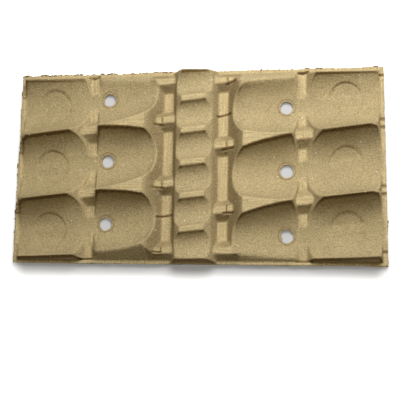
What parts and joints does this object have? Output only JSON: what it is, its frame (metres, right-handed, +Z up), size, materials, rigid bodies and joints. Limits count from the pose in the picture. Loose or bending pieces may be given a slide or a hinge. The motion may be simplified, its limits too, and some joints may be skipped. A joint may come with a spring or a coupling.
{
  "type": "bottle tray",
  "caption": "Moulded pulp tray with slanted bottle cavities in two facing groups, neck cradles along a middle column and a flat lip all round.",
  "frame": {"origin": "middle of the tray in plan, on the plane of its feet", "axes": "+X along the long side, +Y to the far long side, +Z up"},
  "size_m": [0.52, 0.275, 0.04],
  "materials": {
    "pulp": "matte"
  },
  "bodies": {
    "root": {"tray": "pulp"}
  },
  "joints": []
}
